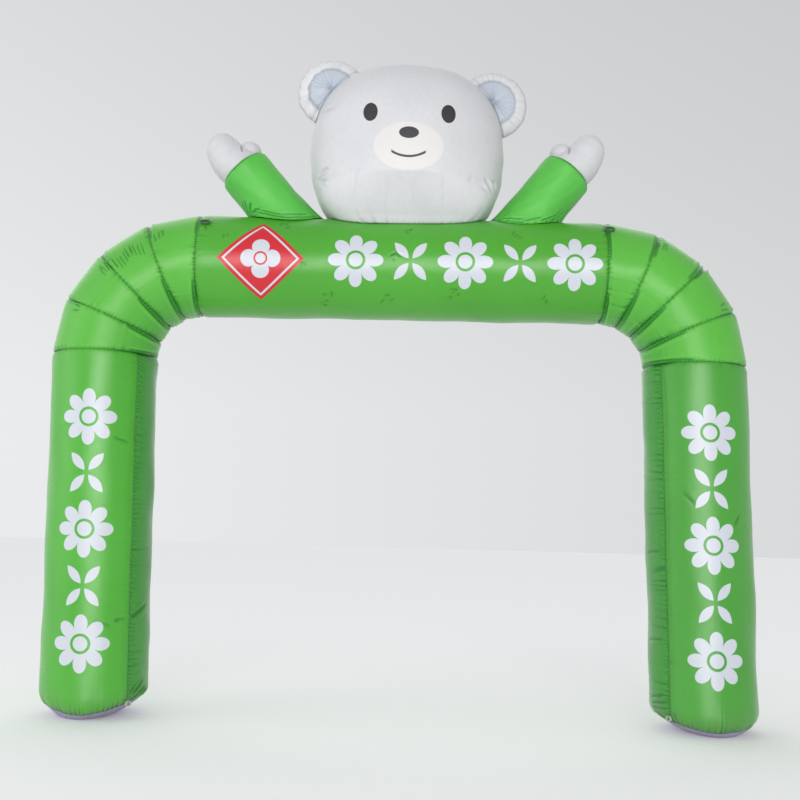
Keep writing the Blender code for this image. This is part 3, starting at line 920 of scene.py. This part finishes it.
def shape_head(along, around):
    turn = (around - 0.25) * math.tau
    climb = (along - 0.5) * POLE_TO_POLE
    up = np.sign(climb) * np.abs(np.sin(climb)) ** (2 / HEAD_ROUNDNESS)
    spread = np.clip(1 - np.abs(up) ** HEAD_ROUNDNESS, 0, 1) ** (1 / HEAD_ROUNDNESS)
    # Low down, where it is sewn to the beam, it is flatter in front.
    low = np.clip((-up - 0.35) / 0.4, 0, 1)
    half_width, half_depth = HEAD_HALF_WIDTH * spread, HEAD_HALF_DEPTH * spread * (1 - 0.22 * low)
    outline = head_outline(turn, OUTLINE_ROUNDNESS + 2.2 * low)
    # Seams run down the sides and the back. The face is one panel.
    face = np.exp(-((np.angle(np.exp(1j * (turn + math.pi / 2))) / 0.72) ** 4))
    off_seam = np.abs(np.angle(np.exp(1j * HEAD_SEAMS * turn))) / HEAD_SEAMS * half_width
    seam_depth = 0.010 * (1 - face) * np.cos(climb) ** 0.5
    groove = seam_depth * ebb(off_seam, 0.018)
    across, back = half_width * outline * np.cos(turn), half_depth * outline * np.sin(turn)
    places = np.column_stack((across, back, HEAD_HALF_HEIGHT * up)) + np.array(HEAD_CENTRE)
    above_beam = places[:, 2] - beam_top(places)
    relief = puckers(turn, np.clip(above_beam, 0, None), 121, count=38, depth=0.007, reach=0.07)
    relief += (1 - face) * puckers(climb * 2.2, off_seam, 131, count=56, depth=0.004, reach=0.05)
    soft_folds = np.where(places[:, 1] < 0, creases(places[:, 0], places[:, 2], CHEEK_CREASES), 0)
    outward = places - np.array(HEAD_CENTRE)
    outward[:, 1] *= (HEAD_HALF_WIDTH / HEAD_HALF_DEPTH) ** 2
    outward /= np.linalg.norm(outward, axis=1)[:, None]
    limp = buckles(3.0 * places[:, 2], 2 * turn, 127, 0.003) * (1 - face)
    swell = relief + 2.0 * soft_folds - groove + buckles(places[:, 2], turn, 125, 0.004) + limp
    # Only a little of the cheek folds' depth goes into the painted shade.
    relief += 0.35 * soft_folds
    places = places + outward * swell[:, None]
    places[:, 2] = np.maximum(places[:, 2], beam_top(places))
    cloth = np.column_stack((places[:, 2], turn * HEAD_CLOTH_RADIUS))
    return places, cloth, np.minimum(off_seam + 0.05 * face, np.clip(above_beam, 0, 0.2)), relief


head = sew("head_cloth", 180, 280, shape_head, flat_ends=False)
head_nylon = nylon(
    "head_nylon",
    HEAD_WHITE,
    0.44,
    add_print=face_print,
    painted_fold_shade=(0.84, 0.84, 0.87),
    gathered=(0.050, 0.040),
)
dress(head, head_nylon, "white_nylon", 0.95, "head")


# Ears
# Each ear is two round pieces of white nylon sewn together at the rim, with a pale blue patch let into the
# front. It is drawn in at the rim and the patch's seam, and is sewn against the side of the head.

EAR_CENTRES = {"left": (-0.70, 5.47), "right": (0.735, 5.39)}
EAR_CENTRE_Y = 0.02
EAR_RADIUS = 0.310
EAR_HALF_DEPTH = 0.10
EAR_PATCH_SHARE = 0.66
EAR_TO_HEAD_GAP = 0.005
EAR_WHITE = (0.690, 0.692, 0.720)
EAR_BLUE = (0.447, 0.498, 0.572)


def ear_print(along, around, cloth):
    """The blue patch. Along is the distance from the rim, past it on the back."""
    in_patch = calc("GREATER_THAN", along, EAR_RADIUS * (1 - EAR_PATCH_SHARE))
    return blend_colours(in_patch, cloth, EAR_BLUE)


def draw_back(points, anchors, is_inside):
    """Moves each point that lies inside a neighbour back along its line to an anchor, until it is clear."""
    blocked = is_inside(points)
    clear, inside = np.zeros(len(points)), np.ones(len(points))
    for _ in range(24):
        middle = (clear + inside) / 2
        trial = anchors + (points - anchors) * middle[:, None]
        hit = is_inside(trial)
        inside, clear = np.where(hit, middle, inside), np.where(hit, clear, middle)
    return np.where(blocked[:, None], anchors + (points - anchors) * clear[:, None], points)


def build_ear(side_name):
    centre_x, centre_z = EAR_CENTRES[side_name]
    side = SIDES[side_name]

    def shape(along, around):
        turn = (around - 0.5) * math.tau
        lean = (along - 0.5) * POLE_TO_POLE
        share = np.cos(lean)
        from_rim = (1 - share) * EAR_RADIUS
        is_front = lean < 0
        from_patch = np.where(is_front, np.abs(share - EAR_PATCH_SHARE) * EAR_RADIUS, 1.0)
        relief = puckers(turn, from_rim, 141 + side, count=26, depth=0.007, reach=0.045)
        inside_patch = is_front & (share < EAR_PATCH_SHARE)
        patch_pleats = puckers(turn, from_patch, 145 + side, count=22, depth=0.004, reach=0.020)
        relief += np.where(inside_patch, patch_pleats, 0)
        thickness = EAR_HALF_DEPTH * np.clip(1 - share**3, 0, 1) ** 0.6
        thickness = thickness + relief - 0.008 * ebb(from_patch, 0.010)
        rim_waves = 1 + 0.008 * uneven(turn, 147 + side, 5, 17)
        radius = EAR_RADIUS * share * rim_waves
        x, z = centre_x + np.cos(turn) * radius, centre_z + np.sin(turn) * radius
        places = np.column_stack((x, EAR_CENTRE_Y + np.sign(lean) * thickness, z))
        near_head = np.clip(off_head(places), 0, None)
        tucks = np.abs(np.sin(9 * turn + 2.5 * np.sin(3 * turn + side))) - 0.6
        tucks = 0.024 * tucks * ebb(near_head, 0.060) * np.clip(from_rim / 0.08, 0, 1)
        tucks *= np.where(is_front, 1, 0.4)
        places[:, 1] += np.sign(lean) * tucks
        relief += tucks
        anchors = places.copy()
        anchors[:, 0] = centre_x + side * 0.08
        anchors[:, 2] = centre_z
        places = draw_back(places, anchors, lambda points: off_head(points) < EAR_TO_HEAD_GAP)
        cloth = np.column_stack((np.where(is_front, from_rim, -from_rim), turn * EAR_RADIUS * share))
        return places, cloth, np.minimum(from_rim, from_patch), relief

    ear = sew(f"ear_{side_name}_cloth", 70, 150, shape, flat_ends=False)
    dress(ear, ear_nylon, "white_nylon", 0.9, f"ear_{side_name}")


ear_nylon = nylon(
    "ear_nylon", EAR_WHITE, 0.44, add_print=ear_print, painted_fold_shade=(0.82, 0.84, 0.89), gathered=(0.022, 0.035)
)
for side_name in SIDES:
    build_ear(side_name)


# Sleeves
# Two short tubes of brighter green nylon lean outward on the beam. Each is sewn down along a saddle-shaped
# seam, where it bunches on its outer side, and its cuff is turned in round the hand.

ARM_LINES = {
    "left": {"shoulder": (-1.08, 4.31), "cuff": (-1.468, 4.735)},
    "right": {"shoulder": (1.06, 4.33), "cuff": (1.4185, 4.788)},
}
ARM_RADIUS = 0.232
TURNED_IN_SHARE = 0.08
SLEEVE_GREEN = (0.083, 0.490, 0.052)
SLEEVE_CREASES = {
    # distance up from the beam's seam and place round the front at each end, width, depth
    "left": (
        ((0.03, -0.31), (0.17, -0.25), 0.007, 0.009),
        ((0.02, -0.29), (0.19, -0.21), 0.007, 0.010),
        ((0.03, -0.26), (0.17, -0.17), 0.007, 0.009),
        ((0.03, -0.24), (0.12, -0.13), 0.007, 0.008),
        ((0.060, -0.22), (0.022, 0.02), 0.008, 0.009),
        ((0.095, -0.20), (0.050, 0.04), 0.009, 0.008),
        ((0.040, -0.06), (0.025, 0.22), 0.008, 0.008),
        ((0.085, -0.04), (0.060, 0.16), 0.011, 0.006),
    ),
    "right": (
        ((0.015, 0.22), (0.060, 0.12), 0.008, 0.011),
        ((0.030, 0.14), (0.022, -0.02), 0.008, 0.008),
        ((0.035, 0.02), (0.075, -0.10), 0.008, 0.009),
        ((0.030, -0.10), (0.080, -0.19), 0.008, 0.010),
        ((0.020, -0.22), (0.110, -0.26), 0.008, 0.010),
        ((0.025, -0.29), (0.150, -0.30), 0.008, 0.009),
        ((0.070, 0.00), (0.050, 0.18), 0.011, 0.006),
    ),
}


def arm_axes(side_name):
    """The cuff's middle, the way that the arm points, and the way from it towards the head."""
    line = ARM_LINES[side_name]
    shoulder, cuff = (Vector((line[end][0], 0, line[end][1])) for end in ("shoulder", "cuff"))
    direction = (cuff - shoulder).normalized()
    return cuff, direction, direction.cross(Vector((0, SIDES[side_name], 0)))


def build_sleeve(side_name):
    cuff, direction, headward = arm_axes(side_name)
    side = SIDES[side_name]
    beam_radius = TUBE_RADIUS + ON_BEAM_GAP

    def down_to_beam(turn, radius):
        """How far down the arm's line it is from the cuff's plane to the beam, for points round the arm."""
        height = cuff.z + np.sin(turn) * radius * headward.z
        axis_z = beam_axis_z(ARM_LINES[side_name]["shoulder"][0])
        return (height - axis_z - np.sqrt(beam_radius**2 - (np.cos(turn) * radius) ** 2)) / direction.z

    def shape(along, around):
        turn = (around - 0.5) * math.tau
        tucked = np.clip((TURNED_IN_SHARE - along) / TURNED_IN_SHARE, 0, 1)
        share = np.clip((along - TURNED_IN_SHARE) / (1 - TURNED_IN_SHARE), 0, 1)
        share = stations(share, 0.0, 1.0, 2.0)
        root_radius = ARM_RADIUS * 1.06 * (1 - 0.9 * tucked)
        length = down_to_beam(turn, root_radius)
        up, from_cuff = share * length, (1 - share) * length
        spread = 0.995 + 0.065 * ebb(up, 0.07) - 0.07 * ebb(from_cuff, 0.012)
        relief = puckers(turn, up, 151 + side, count=36, depth=0.009, reach=0.045)
        relief += puckers(turn, from_cuff, 155 + side, count=36, depth=0.003, reach=0.03)
        relief += creases(up, turn * ARM_RADIUS, SLEEVE_CREASES[side_name])
        relief -= 0.005 * hump(from_cuff - 0.008, 0.008)
        limp = buckles(up, turn, 157 + side, 0.004) + buckles(2.4 * up, 2 * turn, 159 + side, 0.0022)
        radius = np.where(tucked > 0, root_radius, ARM_RADIUS * spread + relief + limp)
        ring = -np.cos(turn)[:, None] * np.array((0, 1, 0)) + np.sin(turn)[:, None] * np.array(headward)
        places = np.array(cuff) - from_cuff[:, None] * np.array(direction) + ring * radius[:, None]
        return places, np.column_stack((up, turn * ARM_RADIUS)), np.minimum(up, from_cuff), relief

    sleeve = sew(f"sleeve_{side_name}_cloth", 100, 200, shape)
    dress(sleeve, sleeve_nylon, "sleeve_nylon", 0.92, f"sleeve_{side_name}")


sleeve_nylon = nylon("sleeve_nylon", SLEEVE_GREEN, 0.46, gathered=(0.022, 0.035))
for side_name in SIDES:
    build_sleeve(side_name)


# Hands
# A white mitten fills each cuff: a blunt lobe for the fingers and a short thumb on the side of the head.
# Its front and back are sewn together along the outline, which is drawn in deepest at the cleft.

HAND_RADIUS = 0.165
HAND_PROFILE = (
    # up from the cuff, spread, shift towards the head
    (0.0, 1.20, 0.0),
    (0.08, 1.14, -0.020),
    (0.16, 1.04, -0.034),
    (0.25, 0.97, -0.026),
    (0.335, 0.80, -0.016),
    (0.385, 0.50, -0.012),
    (0.410, 0.18, -0.012),
)
THUMB_RADIUS = 0.100
THUMB_PROFILE = (
    (0.0, 0.9, 0),
    (0.08, 1.03, 0),
    (0.13, 1.04, 0),
    (0.17, 0.92, 0),
    (0.20, 0.66, 0),
    (0.218, 0.30, 0),
)
THUMB_TILT = math.radians(64)
THUMB_ROOT = (0.040, 0, 0.030)
CLEFT = ((0.128, 0.165), (0.085, 0.075))
HAND_MIDDLE = 0.16
HAND_DEEP_FOLD = 0.004
HAND_VOXEL = 0.0072
CUFF_GAP = 0.0015


def add_lobe(bm, profile, radius, place, sides=48):
    """A blunt closed lobe: rings of a profile of distance, spread and shift, bridged and filled."""
    loops = []
    for along, spread, shift in profile:
        ring = bmesh.ops.create_circle(bm, segments=sides, radius=radius * spread)["verts"]
        bmesh.ops.transform(bm, matrix=place @ Matrix.Translation((shift, 0, along)), verts=ring)
        loops.append(list({edge for vert in ring for edge in vert.link_edges}))
    for lower, upper in zip(loops, loops[1:]):
        bmesh.ops.bridge_loops(bm, edges=lower + upper)
    bmesh.ops.holes_fill(bm, edges=loops[0] + loops[-1], sides=0)


def build_hand(side_name):
    cuff, direction, headward = arm_axes(side_name)
    arm = Matrix((headward, direction.cross(headward), direction)).transposed().to_4x4()
    arm.translation = cuff + direction * CUFF_GAP
    bm = bmesh.new()
    add_lobe(bm, HAND_PROFILE, HAND_RADIUS, arm)
    thumb = arm @ Matrix.Translation(THUMB_ROOT) @ Matrix.Rotation(THUMB_TILT, 4, "Y")
    add_lobe(bm, THUMB_PROFILE, THUMB_RADIUS, thumb)
    rough = finish_piece(f"hand_{side_name}_rough", bm)
    remesh = rough.modifiers.new("one_skin", "REMESH")
    remesh.mode = "VOXEL"
    remesh.voxel_size = HAND_VOXEL
    one_skin = rough.evaluated_get(bpy.context.evaluated_depsgraph_get())
    bm = bmesh.new()
    bm.from_mesh(one_skin.to_mesh())
    bpy.data.objects.remove(rough)
    every_axis = {f"use_axis_{axis}": True for axis in "xyz"}
    for _ in range(6):
        bmesh.ops.smooth_vert(bm, verts=bm.verts, factor=0.5, **every_axis)

    # Sewn outline, pleats off it, and a flat base in the cuff.
    bm.normal_update()
    points = np.array([vert.co for vert in bm.verts]) - np.array(cuff)
    normals = np.array([vert.normal for vert in bm.verts])
    up, inward, depth = points @ np.array(direction), points @ np.array(headward), points[:, 1]
    from_seam = np.abs(depth)
    turn = np.arctan2(up - HAND_MIDDLE, inward)
    on_edge = np.clip(1 - np.abs(normals[:, 1]), 0, 1)
    relief = puckers(turn, from_seam, 161 + SIDES[side_name], count=46, depth=0.004, reach=0.03)
    relief += crease(inward, up, *CLEFT, 0.008, 0.016)
    swell = relief - 0.007 * on_edge * ebb(from_seam, 0.007)
    clear_of_cuff = np.clip((up - 0.004) / 0.02, 0, 1)
    points = points + normals * (swell * clear_of_cuff)[:, None]
    below = np.minimum(points @ np.array(direction) - CUFF_GAP, 0)
    points = points - below[:, None] * np.array(direction) + np.array(cuff)

    lay_cloth(bm, points, np.column_stack((up, inward)), from_seam, relief, HAND_DEEP_FOLD)
    hand = finish_piece(f"hand_{side_name}_cloth", bm)
    dress(hand, hand_nylon, "white_nylon", 0.9, f"hand_{side_name}")


hand_nylon = nylon("hand_nylon", HEAD_WHITE, 0.44, painted_fold_shade=(0.74, 0.71, 0.77), gathered=(0.020, 0.022))
for side_name in SIDES:
    build_hand(side_name)


# Tether loops
# Flat rings of woven webbing, folded round and sewn down: two dark ones at the ends of the beam, where the
# upper guy lines go, and a small pale one on the seam of each foot.

WEBBING_WIDTH = 0.018
WEBBING_THICKNESS = 0.006
TOP_LOOP_SIZE = (0.044, 0.030)
FOOT_LOOP_SIZE = (0.026, 0.022)
DARK_WEBBING = (0.020, 0.090, 0.022)
PALE_WEBBING = (0.460, 0.560, 0.430)
WORN_WEBBING = (0.20, 0.19, 0.16)


def webbing(name, colour):
    """Woven tape: fine diagonal ribs, a little fuzzy."""
    material, tree, shader = new_material(name)
    coords = place_on(tree)
    inputs = {"Vector": coords, "Scale": 160.0, "Distortion": 1.5, "Detail": 2.0}
    ribs = add_node("ShaderNodeTexWave", inputs, bands_direction="DIAGONAL").outputs["Fac"]
    dark, light = (tuple(part * share for part in colour) for share in (0.7, 1.15))
    worn = times(clouds(coords, 70.0), 0.25)
    shade = blend_colours(worn, blend_colours(ribs, dark, light), WORN_WEBBING)
    raised = raise_cloth(ribs, 0.5, 0.0006)
    set_inputs(shader, {"Base Color": shade, "Roughness": 0.8, "Sheen Weight": 0.2, "Normal": raised})
    return material


def build_loop(node, half_size, outward, material):
    half_width, half_height = half_size
    low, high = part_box(node)
    sideways = Vector((0, 0, 1)).cross(outward).normalized()
    place = Matrix((sideways, outward.cross(sideways), outward)).transposed().to_4x4()
    place.translation = (low + high) / 2
    bm = bmesh.new()
    section = bmesh.ops.create_circle(bm, segments=4, radius=math.sqrt(0.5))["verts"]
    bmesh.ops.rotate(bm, verts=section, matrix=Matrix.Rotation(math.pi / 4, 3, "Z"))
    thickness = WEBBING_THICKNESS / half_height
    for vert in section:
        vert.co = Vector((1 + (vert.co.x - 0.5) * thickness, 0, vert.co.y * WEBBING_WIDTH))
    outline = bm.verts[:] + bm.edges[:]
    bmesh.ops.spin(bm, geom=outline, axis=(0, 0, 1), angle=math.tau, steps=40, use_merge=True)
    bmesh.ops.scale(bm, vec=(half_width, half_height, 1), verts=bm.verts)
    bmesh.ops.recalc_face_normals(bm, faces=bm.faces)
    corners = [edge for edge in bm.edges if edge.calc_face_angle(0) > math.radians(60)]
    bmesh.ops.bevel(bm, geom=corners, offset=0.0008, affect="EDGES", segments=2, profile=0.5, material=-1)
    bmesh.ops.transform(bm, matrix=place, verts=bm.verts)
    for face in bm.faces:
        face.smooth = True
    loop = finish_piece(f"{node}_webbing", bm)
    loop.data.materials.append(material)
    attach(loop, "root")
    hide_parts(node)


dark_webbing, pale_webbing = webbing("dark_webbing", DARK_WEBBING), webbing("pale_webbing", PALE_WEBBING)
facing_up = Vector((0, -math.cos(TETHER_LOOP_TURN), math.sin(TETHER_LOOP_TURN)))
for side_name in SIDES:
    build_loop(f"tether_loop_top_{side_name}", TOP_LOOP_SIZE, facing_up, dark_webbing)
for side_name, side in SIDES.items():
    facing_in = Vector((-side * math.cos(STRIP_HALF_ANGLE), -math.sin(STRIP_HALF_ANGLE), 0))
    build_loop(f"tether_loop_foot_{side_name}", FOOT_LOOP_SIZE, facing_in, pale_webbing)


# Studio
# A pale floor, painted darker towards the big front light, a soft surround that is brightest near the
# horizon, one big soft light from the front, a weak one from the left, and a broad faint one from behind.

CAMERA_PLACE = (0.0546, -9.0655, 1.6637)
CAMERA_YAW = -0.0082
CAMERA_PITCH = 0.1153
CAMERA_ROLL = 0.0269
FOCAL_PIXELS = 1052.0
IMAGE_PIXELS = 800
SENSOR_WIDTH = 36.0
FLOOR_HALF_SIZE = 42
FLOOR_NEAR_EDGE = -24
NEAR_LIGHT_SPAN = (-22.0, -7.0)
PAINTED_SHADE_NEAR_LIGHT = (0.66, 0.66, 0.67)
FLOOR_PAINT = (0.92, 0.92, 0.93)
WHITE = (1.0, 1.0, 1.0, 1.0)


def add_light(name, kind, facing, place=(0, 0, 0), **settings):
    data = bpy.data.lights.new(name, kind)
    for setting, value in settings.items():
        setattr(data, setting, value)
    light = add_object(name, data)
    light.location = place
    light.rotation_euler = facing.to_track_quat("-Z", "Y").to_euler()
    return light


bm = bmesh.new()
bmesh.ops.create_grid(bm, x_segments=1, y_segments=1, size=FLOOR_HALF_SIZE)
bmesh.ops.translate(bm, vec=(0, FLOOR_NEAR_EDGE + FLOOR_HALF_SIZE, 0), verts=bm.verts)
floor = finish_piece("floor", bm)
floor_material, tree, shader = new_material("floor_paint")
# Painted shade: the floor is painted darker towards the big front light, to even out the pool of light it
# throws on the floor.
from_light = remap(axes_of(place_on(tree))[1], NEAR_LIGHT_SPAN, (0.0, 1.0))
shaded_floor_paint = blend_colours(from_light, PAINTED_SHADE_NEAR_LIGHT, FLOOR_PAINT)
glowing = {"Emission Color": WHITE, "Emission Strength": 0.11}
set_inputs(shader, {"Base Color": shaded_floor_paint, "Roughness": 0.9, **glowing})
floor.data.materials.append(floor_material)

world = bpy.data.worlds.new("studio")
world.use_nodes = True
bpy.context.scene.world = world
tree = world.node_tree
across, _, up = axes_of(place_on(tree, "Generated"))
glow = remap(up, (0.10, 0.95), (0.78, 0.50))
from_left = remap(across, (-1.0, 1.0), (1.24, 0.76))
surround = {"Strength": times(glow, from_left), "Color": (0.97, 0.985, 1.0, 1.0)}
set_inputs(tree.nodes["Background"], surround)

key = add_light(
    "soft_wall",
    "AREA",
    Vector((0, 1, 0)),
    (0.4, -30.0, 4.9),
    shape="RECTANGLE",
    size=21.0,
    size_y=10.0,
    spread=math.radians(90),
    energy=1290,
    color=(1.0, 0.985, 0.94),
)
fill_place = Vector((-11.0, -4.0, 4.4))
fill_way = Vector((-2.5, 0, 2.0)) - fill_place
fill = add_light("left_fill", "AREA", fill_way, fill_place, shape="RECTANGLE", size=6, size_y=5, energy=100)
for light in (key, fill):
    light.visible_camera = False
add_light("back_fill", "SUN", Vector((0.15, -1.0, -0.8)), energy=0.60, angle=math.radians(70))

camera_data = bpy.data.cameras.new("camera")
camera = add_object("camera", camera_data)
camera_data.sensor_width = SENSOR_WIDTH
camera_data.lens = FOCAL_PIXELS / IMAGE_PIXELS * SENSOR_WIDTH
camera_data.clip_end = 200
turned = Matrix.Rotation(-CAMERA_YAW, 4, "Z") @ Matrix.Rotation(math.pi / 2 + CAMERA_PITCH, 4, "X")
camera.matrix_world = Matrix.Translation(CAMERA_PLACE) @ turned @ Matrix.Rotation(CAMERA_ROLL, 4, "Z")
bpy.context.scene.camera = camera
bpy.context.scene.view_settings.view_transform = "Standard"
